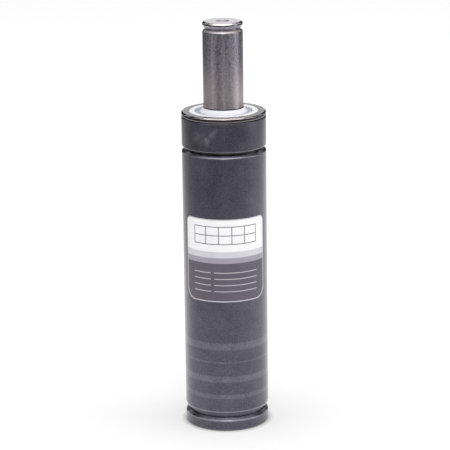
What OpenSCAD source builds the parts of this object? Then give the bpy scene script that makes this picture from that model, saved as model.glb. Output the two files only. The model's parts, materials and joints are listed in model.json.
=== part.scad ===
// Nitrogen die spring: a steel cylinder charged with gas, with a rod that is pushed in against the gas.
// Millimetres. The origin is the centre of the foot, +Z runs up along the rod, the label faces -Y.

/* [Cylinder] */
// Outside diameter of the cylinder
body_d = 38.1; // [37:0.1:44]
// Height of the cylinder from its foot to its top face
tube_h = 143.5; // [138:0.5:180]
// Diameter of the gas chamber
bore_d = 29; // [28.8:0.1:30.4]
// Thickness of the closed foot
foot_t = 18; // [17:0.5:26]
// Bevel in the corner of the chamber floor
floor_bevel = 2; // [0.5:0.1:4]
// Bevel round the foot's lower edge
foot_bevel = 0.5; // [0.2:0.1:1]
// Height of the flange under the lower groove
flange_h = 6.2; // [4:0.1:7]
// Bevel on the flange's upper edge
flange_bevel = 1.4; // [0.2:0.1:1.8]
// Depth of both mounting grooves
groove_depth = 2; // [1.8:0.1:2.4]
// Width of the lower groove's floor
lower_groove_w = 1.4; // [0.8:0.1:2.5]
// Height of the bevel above the lower groove
lower_flank_h = 1.4; // [0.8:0.1:3]
// How far that bevel cuts in
lower_flank_in = 0.75; // [0.3:0.05:1.6]
// Height of the collar above the upper groove
collar_h = 12.9; // [8:0.1:16]
// Height of the sloped flank above the upper groove
upper_flank_h = 0.7; // [0.3:0.1:3]
// How far that flank slopes in
upper_flank_in = 0.7; // [0.3:0.05:1.75]
// Width of the upper groove's floor
upper_groove_w = 1; // [0.8:0.1:3]
// Bevel on the barrel's edge below the upper groove
barrel_bevel = 1.1; // [0.2:0.1:1.5]
// Bevel on the cylinder's top edge
collar_bevel = 0.2; // [0.1:0.05:0.6]

/* [Foot holes] */
// Distance between the two tapped mounting holes
mount_spacing = 20; // [18:0.5:22]
// Tapping diameter of the mounting holes
mount_hole_d = 5; // [4:0.1:5.4]
// Depth of the mounting holes
mount_hole_depth = 10; // [6:0.5:12]
// Countersink at the mouth of each hole in the foot
hole_sink = 0.5; // [0.2:0.1:0.8]

/* [Rod] */
// Diameter of the rod
rod_d = 18; // [16:0.1:18.4]
// Travel of the rod
stroke = 38.1; // [12:0.1:50]
// Rod left above the wiper lip at full travel
rod_reserve = 0.8; // [0.2:0.1:4]
// Bevel on the rod's end
head_bevel = 0.7; // [0.3:0.1:1.5]
// Straight rim below that bevel
head_rim = 0.7; // [0.3:0.1:3]
// Depth of the puller groove
puller_depth = 1.5; // [1:0.1:2]
// Height of the groove's upper flank
puller_upper_h = 1.3; // [0.6:0.1:3]
// How far in the upper flank runs
puller_upper_in = 0.8; // [0.3:0.1:1]
// Width of the groove's floor
puller_floor_w = 0.7; // [0.2:0.05:2]
// Height of the groove's lower flank
puller_lower_h = 1; // [0.6:0.1:3]
// How far in the lower flank runs
puller_lower_in = 1; // [0.3:0.1:1]
// Mouth diameter of the centre-drilled hole
centre_d = 6; // [4:0.1:7]
// Pilot diameter of the centre-drilled hole
pilot_d = 2.5; // [1.5:0.1:3]
// Depth of the centre-drilled hole
centre_depth = 5.5; // [5:0.1:9]

/* [Stop collar] */
// Height of the stop collar
stop_h = 9.5; // [8:0.1:14]
// Diameter of the rod's spigot inside the collar
spigot_d = 15; // [13:0.1:15.4]
// Thickness of the snap ring under the collar
snap_t = 1.4; // [1:0.1:2]
// Depth of the snap ring's groove
snap_depth = 1; // [0.6:0.1:1.5]
// How far the snap ring stands out of its groove
snap_out = 1.6; // [0.8:0.1:2.4]
// Rod length below the snap ring
rod_tail = 1.6; // [1:0.1:4]
// Width of the collar's wear ring
wear_w = 3.5; // [2:0.1:5]
// Thickness of the collar's wear ring
wear_t = 1.7; // [1:0.1:2]
// Diameter of the gas passages through the collar
passage_d = 2.2; // [1:0.1:2.4]

/* [Gland] */
// Depth of the retaining ring's centre below the cylinder's top face
ring_depth = 4.9; // [4:0.1:7]
// Wire diameter of the retaining ring
ring_wire = 3; // [2.6:0.1:3.2]
// How far the wire reaches into the cylinder's wall
ring_bite = 1.35; // [1.2:0.05:1.5]
// Length of the gland below the retaining ring
gland_l = 28.6; // [27:0.1:40]
// Length of the gland's neck inside the cover
neck_in = 0.7; // [0.4:0.1:1.2]
// Wall of the guide bush
bush_wall = 2; // [1:0.1:2.2]
// Length of the guide bush
bush_l = 15; // [8:0.1:15.6]
// Radial section of the rod seal
seal_w = 4; // [3:0.1:4.2]
// Height of the rod seal
seal_h = 5.8; // [5:0.1:7]
// Thickness of the ring behind the rod seal
seal_backup_t = 1.3; // [0.8:0.1:2]
// Height of the ring that keeps the seal in
retainer_h = 3; // [2:0.1:4]
// Section of the gland's O-ring
gland_ring_d = 2.05; // [1.6:0.05:2.2]
// Thickness of the ring beside that O-ring
gland_backup_t = 1.4; // [0.8:0.1:2]
// Height of the O-ring groove above the seal pocket
gland_groove_rise = 2.5; // [1.5:0.1:5]

/* [Cover and wiper] */
// Thickness of the cover's rim
cover_t = 2.5; // [2:0.1:4]
// Bevel on the cover's upper edge
cover_bevel = 0.5; // [0.2:0.1:1]
// Height of the bevel under the cover's rim
cover_under_h = 0.8; // [0.3:0.1:1]
// How far that bevel cuts in
cover_under_in = 0.45; // [0.2:0.05:0.8]
// Outside diameter of the wiper
wiper_d = 31; // [29.5:0.1:33]
// Thickness of the wiper's flange
wiper_flange_t = 1.5; // [1:0.1:1.5]
// How far the wiper stands above the cover
wiper_proud = 0.1; // [0:0.05:0.4]
// Depth of the trough round the lip
trough_depth = 0.9; // [0.3:0.1:1.2]
// Width of the flat ring outside the trough
wiper_land = 2.3; // [1.5:0.1:2.6]
// Height of the lip above the wiper
lip_h = 1.5; // [0.6:0.1:3]
// Thickness of the lip at its root
lip_root = 2.1; // [1.2:0.1:2.3]
// Width of the lip's rounded crest
lip_crest = 0.45; // [0.3:0.05:0.6]

/* [Charging valve] */
// Tapping diameter of the charging port
port_d = 6.8; // [6.6:0.1:7.6]
// Depth of the plug below the foot
plug_recess = 0.5; // [0.2:0.1:1]
// Length of the port plug
plug_l = 6; // [5:0.1:7]
// Width of the plug's hexagon socket
socket_w = 4; // [3:0.5:4.5]
// Depth of that socket
socket_depth = 3.5; // [2:0.1:4]
// Section of the O-ring between plug and valve
port_ring_d = 1.5; // [1:0.1:1.6]
// Length of the valve body
valve_l = 7; // [6.6:0.1:7.5]
// Wall of the valve body
valve_wall = 0.95; // [0.8:0.05:1.1]
// Diameter of the hole through the valve seat
seat_d = 2.4; // [2:0.1:2.6]
// Thickness of the valve seat
seat_t = 1.8; // [1.2:0.1:2.2]
// Thickness of the valve cap
cap_t = 1; // [0.8:0.1:1.2]
// Thickness of the poppet's head
poppet_t = 0.8; // [0.6:0.1:1]
// Thickness of the poppet's seal
poppet_seal_t = 0.5; // [0.3:0.1:0.8]
// Diameter of the poppet's stem
stem_d = 1.2; // [0.8:0.1:1.3]
// Lift of the poppet
lift = 0.6; // [0.3:0.1:0.8]
// Wire diameter of the valve spring
spring_wire = 0.35; // [0.25:0.05:0.4]
// Turns of the valve spring
spring_turns = 3.5; // [2:0.5:4]

/* [Label] */
// Height of the label's lower edge above the foot
label_z = 61.6; // [40:0.1:70]
// Height of the label
label_h = 38.5; // [20:0.1:45]
// Width of the label along the curve
label_w = 41.5; // [20:0.1:48]
// Thickness of the label's film
label_t = 0.1; // [0.08:0.01:0.2]
// Radius of the label's upper corners
label_upper_corner = 3; // [1:0.1:6]
// Radius of the label's lower corners
label_lower_corner = 5.5; // [1:0.1:7]

/* [Fits] */
// Running clearance between the rod and what guides it
rod_play = 0.04; // [0.02:0.01:0.06]
// Clearance between moving and fixed steel that don't guide each other
steel_gap = 0.35; // [0.2:0.05:0.5]
// Clearance of pieces that sit in a bore
bore_play = 0.04; // [0.02:0.01:0.08]
// Clearance between faces that seat on each other
seat_play = 0.05; // [0.02:0.01:0.1]
// Gap left between the stop collar and the gland
stop_gap = 0.1; // [0.05:0.01:0.3]
// Room left round parts that must not be pressed
free_gap = 0.2; // [0.1:0.05:0.3]
// Glue line under the label
label_glue = 0.02; // [0.01:0.01:0.05]

/* [Hidden] */
$fn = 96;
// How far a cutter runs past the face it cuts
past = 1;

body_r = body_d / 2;
bore_r = bore_d / 2;
rod_r = rod_d / 2;
groove_r = body_r - groove_depth;

// Heights along the outside of the cylinder
lower_groove_top = flange_h + lower_groove_w;
barrel_bottom = lower_groove_top + lower_flank_h;
collar_bottom = tube_h - collar_h;
upper_groove_top = collar_bottom - upper_flank_h;
barrel_top = upper_groove_top - upper_groove_w;

// Retaining ring, and the gland under it
wire_r = ring_wire / 2;
ring_r = bore_r + ring_bite - wire_r;
ring_z = tube_h - ring_depth;
ring_cut_r = wire_r + seat_play;
ring_split_deg = 16;
shoulder_steps = 6;
fit_r = bore_r - bore_play;
neck_r = ring_r - ring_cut_r;
gland_z = ring_z - gland_l;
retainer_top = gland_z + retainer_h;
seal_z = retainer_top + free_gap;
seal_backup_z = seal_z + seal_h + seat_play;
gland_step_z = seal_backup_z + seal_backup_t + seat_play;
bush_z = gland_step_z + seat_play;
bush_pocket_top = bush_z + bush_l + seat_play;
bush_r = rod_r + bush_wall;
seal_r = rod_r + seal_w;
gland_groove_z = gland_step_z + gland_groove_rise;
gland_groove_r = fit_r - gland_ring_d - seat_play;
gland_backup_z = gland_groove_z + gland_ring_d + 2 * seat_play;
gland_groove_top = gland_backup_z + gland_backup_t + seat_play;

// Cover and wiper
cover_top = tube_h + cover_t;
cover_foot = ring_z + wire_r + free_gap;
neck_top = cover_foot + neck_in;
spigot_bore_r = neck_r + 2 * seat_play;
wiper_r = wiper_d / 2;
wiper_seat = cover_top + wiper_proud - wiper_flange_t;
wiper_top = cover_top + wiper_proud;
wiper_foot = neck_top + free_gap;
lip_top = wiper_top + lip_h;
lip_root_r = rod_r + lip_root;
lip_edge_r = rod_r + rod_play;
trough_z = wiper_top - trough_depth;

// Rod and stop collar
rod_top = lip_top + stroke + rod_reserve;
rim_z = rod_top - head_bevel - head_rim;
puller_top = rim_z - puller_upper_h;
puller_bottom = puller_top - puller_floor_w;
shank_top = puller_bottom - puller_lower_h;
spigot_r = spigot_d / 2;
stop_top = gland_z - stop_gap;
stop_bottom = stop_top - stop_h;
stop_r = bore_r - steel_gap;
snap_top = stop_bottom - seat_play;
snap_bottom = snap_top - snap_t;
snap_r = spigot_r - snap_depth;
snap_split_deg = 30;
rod_bottom = snap_bottom - rod_tail;
tail_bevel = 0.6;
wear_z = stop_bottom + (stop_h - wear_w) / 2;
wear_floor_r = fit_r - wear_t - seat_play;
wear_split_deg = 4;
passage_count = 4;
passage_r = (spigot_r + wear_floor_r) / 2;
centre_half_deg = 30;
drill_half_deg = 59;

// Charging valve
port_r = port_d / 2;
port_fit_r = port_r - bore_play;
plug_top = plug_recess + plug_l;
port_ring_z = plug_top + seat_play + port_ring_d / 2;
valve_z = plug_top + port_ring_d + 2 * seat_play;
valve_top = valve_z + valve_l;
port_depth = valve_top + seat_play;
valve_bore_r = port_fit_r - valve_wall;
vent_r = valve_bore_r - free_gap;
seat_r = seat_d / 2;
seat_z = valve_z + seat_t;
slot_w = 0.8;
slot_depth = 0.6;
cap_z = valve_top - cap_t;
cap_r = valve_bore_r - bore_play;
stem_r = stem_d / 2;
poppet_r = valve_bore_r - steel_gap;
poppet_z = seat_z + seat_play + poppet_seal_t;
poppet_top = poppet_z + poppet_t;
stem_foot = valve_z + slot_depth;
stem_top = valve_top - free_gap;
stem_play = 0.08;
boss_r = stem_r + steel_gap;
boss_top = cap_z - lift - seat_play;
cap_hole_r = 0.35;
cap_hole_count = 4;
cap_hole_ring_r = (stem_r + stem_play + cap_r) / 2;
spring_z = poppet_top + seat_play;
spring_top = cap_z - seat_play;
spring_r = poppet_r - spring_wire / 2 - seat_play;
spring_sides = 8;
spring_steps = 16;

// Label, as angles round the barrel; a corner's arc is drawn a little larger, so that it crosses the edges
label_r = body_r + label_glue;
label_half_deg = label_w / 2 / body_r * 180 / PI;
corner_swell = 1.02;

// A flat ring of rectangular section
module plain_ring(inner_r, outer_r, z, h) {
    translate([0, 0, z])
        difference() {
            cylinder(r = outer_r, h = h);
            translate([0, 0, -past])
                cylinder(r = inner_r, h = h + 2 * past);
        }
}

// A ring of round section, whole or split by a gap that faces +Y
module round_ring(mean_r, section_r, z, split_deg = 0) {
    translate([0, 0, z])
        rotate([0, 0, 90 + split_deg / 2])
            rotate_extrude(angle = 360 - split_deg)
                translate([mean_r, 0])
                    circle(r = section_r, $fn = 32);
}

// A ring of rectangular section, split by a gap that faces +Y
module split_ring(inner_r, outer_r, z, h, split_deg) {
    rotate([0, 0, 90 + split_deg / 2])
        rotate_extrude(angle = 360 - split_deg)
            translate([inner_r, z])
                square([outer_r - inner_r, h]);
}

// A hole drilled up into the foot, with a countersunk mouth
module foot_hole(r, depth) {
    translate([0, 0, -past])
        cylinder(r = r, h = depth + past);
    translate([0, 0, -hole_sink])
        cylinder(r1 = r + 2 * hole_sink, r2 = r, h = 2 * hole_sink);
}

// One turned piece: foot flange, lower groove, barrel, upper groove and collar round the gas chamber
module cylinder_tube() {
    color("dimgray")
        difference() {
            rotate_extrude()
                polygon([
                    [0, 0],
                    [body_r - foot_bevel, 0],
                    [body_r, foot_bevel],
                    [body_r, flange_h - flange_bevel],
                    [body_r - flange_bevel, flange_h],
                    [groove_r, flange_h],
                    [groove_r, lower_groove_top],
                    [body_r - lower_flank_in, lower_groove_top],
                    [body_r, barrel_bottom],
                    [body_r, barrel_top - barrel_bevel],
                    [body_r - barrel_bevel, barrel_top],
                    [groove_r, barrel_top],
                    [groove_r, upper_groove_top],
                    [body_r - upper_flank_in, upper_groove_top],
                    [body_r, collar_bottom],
                    [body_r, tube_h - collar_bevel],
                    [body_r - collar_bevel, tube_h],
                    [bore_r, tube_h],
                    [bore_r, foot_t + floor_bevel],
                    [bore_r - floor_bevel, foot_t],
                    [0, foot_t]
                ]);
            round_ring(ring_r, ring_cut_r, ring_z);
            foot_hole(port_r, port_depth);
            cylinder(r = vent_r, h = foot_t + past);
            for (side = [-1, 1])
                translate([side * mount_spacing / 2, 0, 0]) {
                    foot_hole(mount_hole_d / 2, mount_hole_depth);
                    translate([0, 0, mount_hole_depth])
                        cylinder(r1 = mount_hole_d / 2, r2 = 0, h = mount_hole_d / 2 / tan(drill_half_deg));
                }
        }
}

// Cover ring with a bevelled rim on the cylinder's end and a spigot in its bore
module top_cover() {
    color("#26262a")
        rotate_extrude()
            polygon([
                [spigot_bore_r, cover_foot],
                [fit_r, cover_foot],
                [fit_r, tube_h],
                [body_r - cover_under_in, tube_h],
                [body_r, tube_h + cover_under_h],
                [body_r, cover_top - cover_bevel],
                [body_r - cover_bevel, cover_top],
                [wiper_r + bore_play, cover_top],
                [wiper_r + bore_play, wiper_seat],
                [spigot_bore_r, wiper_seat]
            ]);
}

// Wiper with a flange in the cover, a trough and a conical lip against the rod
module wiper_ring() {
    color("white")
        rotate_extrude()
            polygon([
                [rod_r + steel_gap, wiper_foot],
                [spigot_bore_r - bore_play, wiper_foot],
                [spigot_bore_r - bore_play, wiper_seat],
                [wiper_r, wiper_seat],
                [wiper_r, wiper_top],
                [wiper_r - wiper_land, wiper_top],
                [wiper_r - wiper_land - trough_depth / 2, trough_z],
                [lip_root_r, trough_z],
                [lip_edge_r + lip_crest, lip_top],
                [lip_edge_r + lip_crest / 2, lip_top],
                [lip_edge_r, lip_top - lip_crest],
                [rod_r + steel_gap, trough_z]
            ]);
}

// Film with rounded corners that follows the barrel
module label() {
    color("gainsboro")
        difference() {
            rotate([0, 0, -90 - label_half_deg])
                rotate_extrude(angle = 2 * label_half_deg)
                    translate([label_r, label_z])
                        square([label_t, label_h]);
            for (side = [0, 1]) {
                mirror([side, 0, 0])
                    label_corner_cut(label_z + label_h, label_upper_corner, 0);
                mirror([side, 0, 0])
                    label_corner_cut(label_z, label_lower_corner, 1);
            }
        }
}

// What a round corner of radius r takes off the film, at the right-hand end of an upper or lower edge
module label_corner_cut(edge_z, r, lower) {
    rotate([0, 0, label_half_deg - r / body_r * 180 / PI])
        translate([0, -body_r, edge_z])
            mirror([0, 0, lower])
                translate([0, 0, -r])
                    difference() {
                        translate([0, -past, 0])
                            cube([r + past, r / 2 + past, r + past]);
                        rotate([90, 0, 0])
                            cylinder(r = r * corner_swell, h = 2 * r + 4 * past, center = true);
                    }
}

// Split wire that sits half in the wall and half over the gland's shoulder
module retaining_ring() {
    color("silver")
        round_ring(ring_r, wire_r, ring_z, ring_split_deg);
}

// Housing with pockets for bush and seals, a groove for the O-ring and a round shoulder under the wire
module gland() {
    rim_deg = 360 - acos((fit_r - ring_r) / ring_cut_r);
    shoulder = [for (i = [0 : shoulder_steps])
        let (a = rim_deg + (180 - rim_deg) * i / shoulder_steps)
        [ring_r + ring_cut_r * cos(a), ring_z + ring_cut_r * sin(a)]
    ];
    color("slategray")
        rotate_extrude()
            polygon(concat(
                [
                    [seal_r, gland_z],
                    [fit_r, gland_z],
                    [fit_r, gland_groove_z],
                    [gland_groove_r, gland_groove_z],
                    [gland_groove_r, gland_groove_top],
                    [fit_r, gland_groove_top]
                ],
                shoulder,
                [
                    [neck_r, neck_top],
                    [rod_r + steel_gap, neck_top],
                    [rod_r + steel_gap, bush_pocket_top],
                    [bush_r, bush_pocket_top],
                    [bush_r, gland_step_z],
                    [seal_r, gland_step_z]
                ]
            ));
}

// Bronze bush that guides the rod
module guide_bush() {
    color("darkgoldenrod")
        plain_ring(rod_r + rod_play, bush_r - bore_play, bush_z, bush_l);
}

// U-cup with its two lips towards the gas
module rod_seal() {
    inner_r = rod_r + rod_play;
    outer_r = seal_r - bore_play;
    mid_r = (inner_r + outer_r) / 2;
    lip_w = (outer_r - inner_r) / 3;
    heel_h = seal_h / 2;
    color("royalblue")
        rotate_extrude()
            polygon([
                [inner_r, seal_z + free_gap],
                [inner_r + lip_w, seal_z],
                [mid_r, seal_z + heel_h],
                [outer_r - lip_w, seal_z],
                [outer_r, seal_z + free_gap],
                [outer_r, seal_z + seal_h],
                [inner_r, seal_z + seal_h]
            ]);
}

// Ring that keeps the seal from creeping into the gap above it
module seal_backup_ring() {
    color("ivory")
        plain_ring(rod_r + rod_play, seal_r - bore_play, seal_backup_z, seal_backup_t);
}

// Pressed-in ring that keeps the seal in its pocket
module seal_retainer() {
    color("lightsteelblue")
        plain_ring(rod_r + steel_gap, seal_r - bore_play, gland_z, retainer_h);
}

// Static seal between gland and cylinder
module gland_o_ring() {
    color("black")
        round_ring(fit_r - gland_ring_d / 2, gland_ring_d / 2, gland_groove_z + seat_play + gland_ring_d / 2);
}

// Flat ring on the low-pressure side of the O-ring
module gland_backup_ring() {
    color("ivory")
        plain_ring(gland_groove_r + seat_play, fit_r, gland_backup_z, gland_backup_t);
}

// Ground rod with a bevelled head, a puller groove, a centre hole and a spigot for the stop collar
module piston_rod() {
    centre_r = centre_d / 2;
    pilot_r = pilot_d / 2;
    cone_h = (centre_r - pilot_r) / tan(centre_half_deg);
    color("lightslategray")
        rotate_extrude()
            polygon([
                [0, rod_bottom],
                [spigot_r - tail_bevel, rod_bottom],
                [spigot_r, rod_bottom + tail_bevel],
                [spigot_r, snap_bottom - seat_play],
                [snap_r, snap_bottom - seat_play],
                [snap_r, snap_top + seat_play],
                [spigot_r, snap_top + seat_play],
                [spigot_r, stop_top],
                [rod_r, stop_top],
                [rod_r, shank_top],
                [rod_r - puller_lower_in, puller_bottom],
                [rod_r - puller_depth, puller_bottom],
                [rod_r - puller_depth, puller_top],
                [rod_r - puller_upper_in, puller_top],
                [rod_r, rim_z],
                [rod_r, rod_top - head_bevel],
                [rod_r - head_bevel, rod_top],
                [centre_r, rod_top],
                [pilot_r, rod_top - cone_h],
                [pilot_r, rod_top - centre_depth],
                [0, rod_top - centre_depth - pilot_r / tan(drill_half_deg)]
            ]);
}

// Collar that stops the rod against the gland, with passages for the gas
module stop_collar() {
    color("gray")
        difference() {
            rotate_extrude()
                polygon([
                    [spigot_r + bore_play, stop_bottom],
                    [stop_r, stop_bottom],
                    [stop_r, wear_z - seat_play],
                    [wear_floor_r, wear_z - seat_play],
                    [wear_floor_r, wear_z + wear_w + seat_play],
                    [stop_r, wear_z + wear_w + seat_play],
                    [stop_r, stop_top - seat_play],
                    [spigot_r + bore_play, stop_top - seat_play]
                ]);
            for (i = [0 : passage_count - 1])
                rotate([0, 0, i * 360 / passage_count])
                    translate([passage_r, 0, stop_bottom - past])
                        cylinder(d = passage_d, h = stop_h + 2 * past);
        }
}

// Split guide ring that runs in the bore
module collar_wear_ring() {
    color("saddlebrown")
        split_ring(wear_floor_r + seat_play, fit_r, wear_z, wear_w, wear_split_deg);
}

// Split ring that holds the collar on the rod
module collar_snap_ring() {
    color("silver")
        split_ring(snap_r + seat_play, spigot_r + snap_out, snap_bottom, snap_t, snap_split_deg);
}

// Screwed-in valve body with a driver slot, a seat and a chamber
module valve_body() {
    color("goldenrod")
        difference() {
            rotate_extrude()
                polygon([
                    [seat_r, valve_z],
                    [port_fit_r, valve_z],
                    [port_fit_r, valve_top],
                    [valve_bore_r, valve_top],
                    [valve_bore_r, seat_z],
                    [seat_r, seat_z]
                ]);
            translate([-port_d, -slot_w / 2, valve_z - past])
                cube([2 * port_d, slot_w, slot_depth + past]);
        }
}

// Cap with a guide hole for the stem and holes for the gas
module valve_cap() {
    color("goldenrod")
        difference() {
            plain_ring(stem_r + stem_play, cap_r, cap_z, cap_t);
            for (i = [0 : cap_hole_count - 1])
                rotate([0, 0, (i + 0.5) * 360 / cap_hole_count])
                    translate([cap_hole_ring_r, 0, cap_z - past])
                        cylinder(r = cap_hole_r, h = cap_t + 2 * past);
        }
}

// One round of points across the spring's wire, at a share of its length
function wire_round(share) =
    let (
        turn = 360 * spring_turns * share,
        z = spring_z + spring_wire / 2 + share * (spring_top - spring_z - spring_wire)
    )
    [for (k = [0 : spring_sides - 1])
        let (
            a = 360 * k / spring_sides,
            r = spring_r + spring_wire / 2 * cos(a)
        )
        [r * cos(turn), r * sin(turn), z + spring_wire / 2 * sin(a)]
    ];

// Coil spring between the poppet's head and the cap
module valve_spring() {
    count = round(spring_turns * spring_steps);
    points = [for (i = [0 : count], p = wire_round(i / count)) p];
    walls = [for (i = [0 : count - 1], k = [0 : spring_sides - 1])
        let (next = (k + 1) % spring_sides)
        [i * spring_sides + k, (i + 1) * spring_sides + k, (i + 1) * spring_sides + next, i * spring_sides + next]
    ];
    start = [for (k = [0 : spring_sides - 1]) k];
    end = [for (k = [spring_sides - 1 : -1 : 0]) count * spring_sides + k];
    color("silver")
        polyhedron(points, concat(walls, [start], [end]));
}

// Poppet with a stem below for the charging tool, a boss that stops its lift and a stem in the cap
module valve_poppet() {
    color("gold")
        rotate_extrude()
            polygon([
                [0, stem_foot],
                [stem_r, stem_foot],
                [stem_r, poppet_z],
                [poppet_r, poppet_z],
                [poppet_r, poppet_top],
                [boss_r, poppet_top],
                [boss_r, boss_top],
                [stem_r, boss_top],
                [stem_r, stem_top],
                [0, stem_top]
            ]);
}

// Rubber washer under the poppet's head
module poppet_seal() {
    color("black")
        plain_ring(stem_r + bore_play, poppet_r, poppet_z - poppet_seal_t, poppet_seal_t);
}

// Screw with a hexagon socket that closes the port
module port_plug() {
    color("silver")
        translate([0, 0, plug_recess])
            difference() {
                cylinder(r = port_fit_r, h = plug_l);
                translate([0, 0, -past])
                    cylinder(d = socket_w / cos(30), h = socket_depth + past, $fn = 6);
            }
}

// O-ring between the plug and the valve body
module port_seal() {
    color("black")
        round_ring(port_fit_r - port_ring_d / 2, port_ring_d / 2, port_ring_z);
}

cylinder_tube();
top_cover();
wiper_ring();
label();
retaining_ring();
gland();
guide_bush();
rod_seal();
seal_backup_ring();
seal_retainer();
gland_o_ring();
gland_backup_ring();
piston_rod();
stop_collar();
collar_wear_ring();
collar_snap_ring();
valve_body();
valve_cap();
valve_spring();
valve_poppet();
poppet_seal();
port_plug();
port_seal();
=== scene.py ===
"""Looks of a nitrogen die spring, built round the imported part.

Blender works in metres; the sizes written here are millimetres, apart from those of the studio.
"""
import json
import math

import bmesh
import bpy
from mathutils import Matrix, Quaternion, Vector


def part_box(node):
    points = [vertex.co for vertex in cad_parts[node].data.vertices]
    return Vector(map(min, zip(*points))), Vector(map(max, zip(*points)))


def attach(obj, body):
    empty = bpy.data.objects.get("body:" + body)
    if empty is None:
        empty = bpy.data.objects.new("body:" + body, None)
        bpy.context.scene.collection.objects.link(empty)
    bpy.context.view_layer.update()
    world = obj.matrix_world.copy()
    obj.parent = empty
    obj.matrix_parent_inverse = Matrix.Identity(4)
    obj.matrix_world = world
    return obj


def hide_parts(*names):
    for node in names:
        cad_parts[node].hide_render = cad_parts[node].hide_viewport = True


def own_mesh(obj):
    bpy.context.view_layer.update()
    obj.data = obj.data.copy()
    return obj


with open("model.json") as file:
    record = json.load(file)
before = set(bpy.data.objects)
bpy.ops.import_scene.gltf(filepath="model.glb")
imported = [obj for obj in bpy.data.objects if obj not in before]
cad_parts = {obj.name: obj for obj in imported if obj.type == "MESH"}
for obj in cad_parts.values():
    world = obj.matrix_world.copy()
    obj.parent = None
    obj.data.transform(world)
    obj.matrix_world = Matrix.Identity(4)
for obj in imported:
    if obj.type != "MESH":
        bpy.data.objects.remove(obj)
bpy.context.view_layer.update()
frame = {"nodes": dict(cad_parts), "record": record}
nodes = frame["nodes"]
scene = bpy.context.scene

MM = 0.001
TAU = 2 * math.pi

# Sizes that the looks share with the solids
BODY_R = 19.05
ROD_R = 9.0
ROD_TOP = 186.5
WIPER_TOP = 146.1
WIPER_LIP = 147.6
GROOVE_MIDDLE = 129.4
LABEL_FOOT = 61.6
LABEL_HIGH = 38.5
LABEL_WIDE = 41.5
LABEL_UPPER_CORNER = 3.0
LABEL_LOWER_CORNER = 5.5
MOUNT_SPACING = 20.0
MOUNT_MINOR_R = 2.5
MOUNT_MOUTH_R = 3.0
MOUNT_DEPTH = 10.0
MOUNT_PITCH = 1.0
PORT_MOUTH_R = 3.9
COIL_TURNS = 3.5
COIL_WIRE_R = 0.175


def linear(text):
    """An sRGB hex colour as linear RGBA."""
    parts = [int(text[i:i + 2], 16) / 255 for i in (1, 3, 5)]
    return [c / 12.92 if c <= 0.04045 else ((c + 0.055) / 1.055) ** 2.4 for c in parts] + [1.0]


def add(tree, kind, links=None, **settings):
    """Adds one node; links maps an input's name or number to a node, a socket or a value."""
    node = tree.nodes.new(kind)
    for key, value in settings.items():
        setattr(node, key, value)
    for key, source in (links or {}).items():
        if isinstance(source, bpy.types.Node):
            source = source.outputs[0]
        if isinstance(source, bpy.types.NodeSocket):
            tree.links.new(source, node.inputs[key])
        else:
            node.inputs[key].default_value = source
    return node


def clear_tree(owner):
    """The emptied node tree of a material or a world."""
    owner.use_nodes = True
    owner.node_tree.nodes.clear()
    return owner.node_tree


# Camera: a long lens that looks down on the part from in front, leaning slightly to one side
AIM = Vector((0.0, 0.0, 92.6)) * MM
CAMERA_AWAY = 967.6 * MM
CAMERA_DOWN = math.radians(15.0)
CAMERA_ROLL = math.radians(-0.74)
camera_data = bpy.data.cameras.new("camera")
camera_data.lens = 170.0
camera_data.sensor_width = 36.0
camera_data.clip_start = 0.01
camera_data.clip_end = 20.0
camera = bpy.data.objects.new("camera", camera_data)
back = Vector((0.0, -math.cos(CAMERA_DOWN), math.sin(CAMERA_DOWN)))
camera.location = AIM + back * CAMERA_AWAY
camera.rotation_mode = "QUATERNION"
camera.rotation_quaternion = (-back).to_track_quat("-Z", "Y") @ Quaternion((0, 0, 1), CAMERA_ROLL)
scene.collection.objects.link(camera)
scene.camera = camera
scene.view_settings.view_transform = "Standard"


def new_material(name):
    """A material with its tree, its shader and a socket for the place on the piece in millimetres."""
    material = bpy.data.materials.new(name)
    tree = clear_tree(material)
    shader = add(tree, "ShaderNodeBsdfPrincipled")
    add(tree, "ShaderNodeOutputMaterial", {"Surface": shader.outputs["BSDF"]})
    place = add(tree, "ShaderNodeTexCoord").outputs["Object"]
    mm = add(tree, "ShaderNodeVectorMath", {0: place, 1: (1 / MM,) * 3}, operation="MULTIPLY")
    return material, tree, shader, mm.outputs[0]


def round_place(tree, mm):
    """Sockets for the angle round the axis from the front, in radians, and the height in millimetres."""
    axes = add(tree, "ShaderNodeSeparateXYZ", {0: mm})
    front = add(tree, "ShaderNodeMath", {0: axes.outputs["Y"], 1: -1.0}, operation="MULTIPLY")
    angle = add(tree, "ShaderNodeMath", {0: axes.outputs["X"], 1: front}, operation="ARCTAN2")
    return angle.outputs[0], axes.outputs["Z"]


def rubbed_bands(tree, height, tone, colour, bands):
    """Lightens the bands that a chuck or a clamp has rubbed, with soft edges; returns the new colour."""
    span = 60.0
    soft = 0.24
    share = add(tree, "ShaderNodeMath", {0: height, 1: span}, operation="DIVIDE")
    ramp = add(tree, "ShaderNodeValToRGB", {0: share})
    stops = ramp.color_ramp.elements
    stops[0].position = 0.0
    stops[0].color = (0, 0, 0, 1)
    stops[1].position = 1.0
    stops[1].color = (0, 0, 0, 1)
    for low, high, level in bands:
        for z, value in ((low - soft, 0.0), (low + soft, level), (high - soft, level), (high + soft, 0.0)):
            stops.new(z / span).color = (value, value, value, 1)
    rubbed = add(tree, "ShaderNodeMath", {0: ramp, 1: tone}, operation="MULTIPLY")
    rubbed = add(tree, "ShaderNodeMath", {0: ramp, 1: 0.65, 2: rubbed}, operation="MULTIPLY_ADD")
    return add(tree, "ShaderNodeMix", {"Factor": rubbed, 6: colour, 7: linear("#7d7a88")},
               data_type="RGBA").outputs[2]


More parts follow.
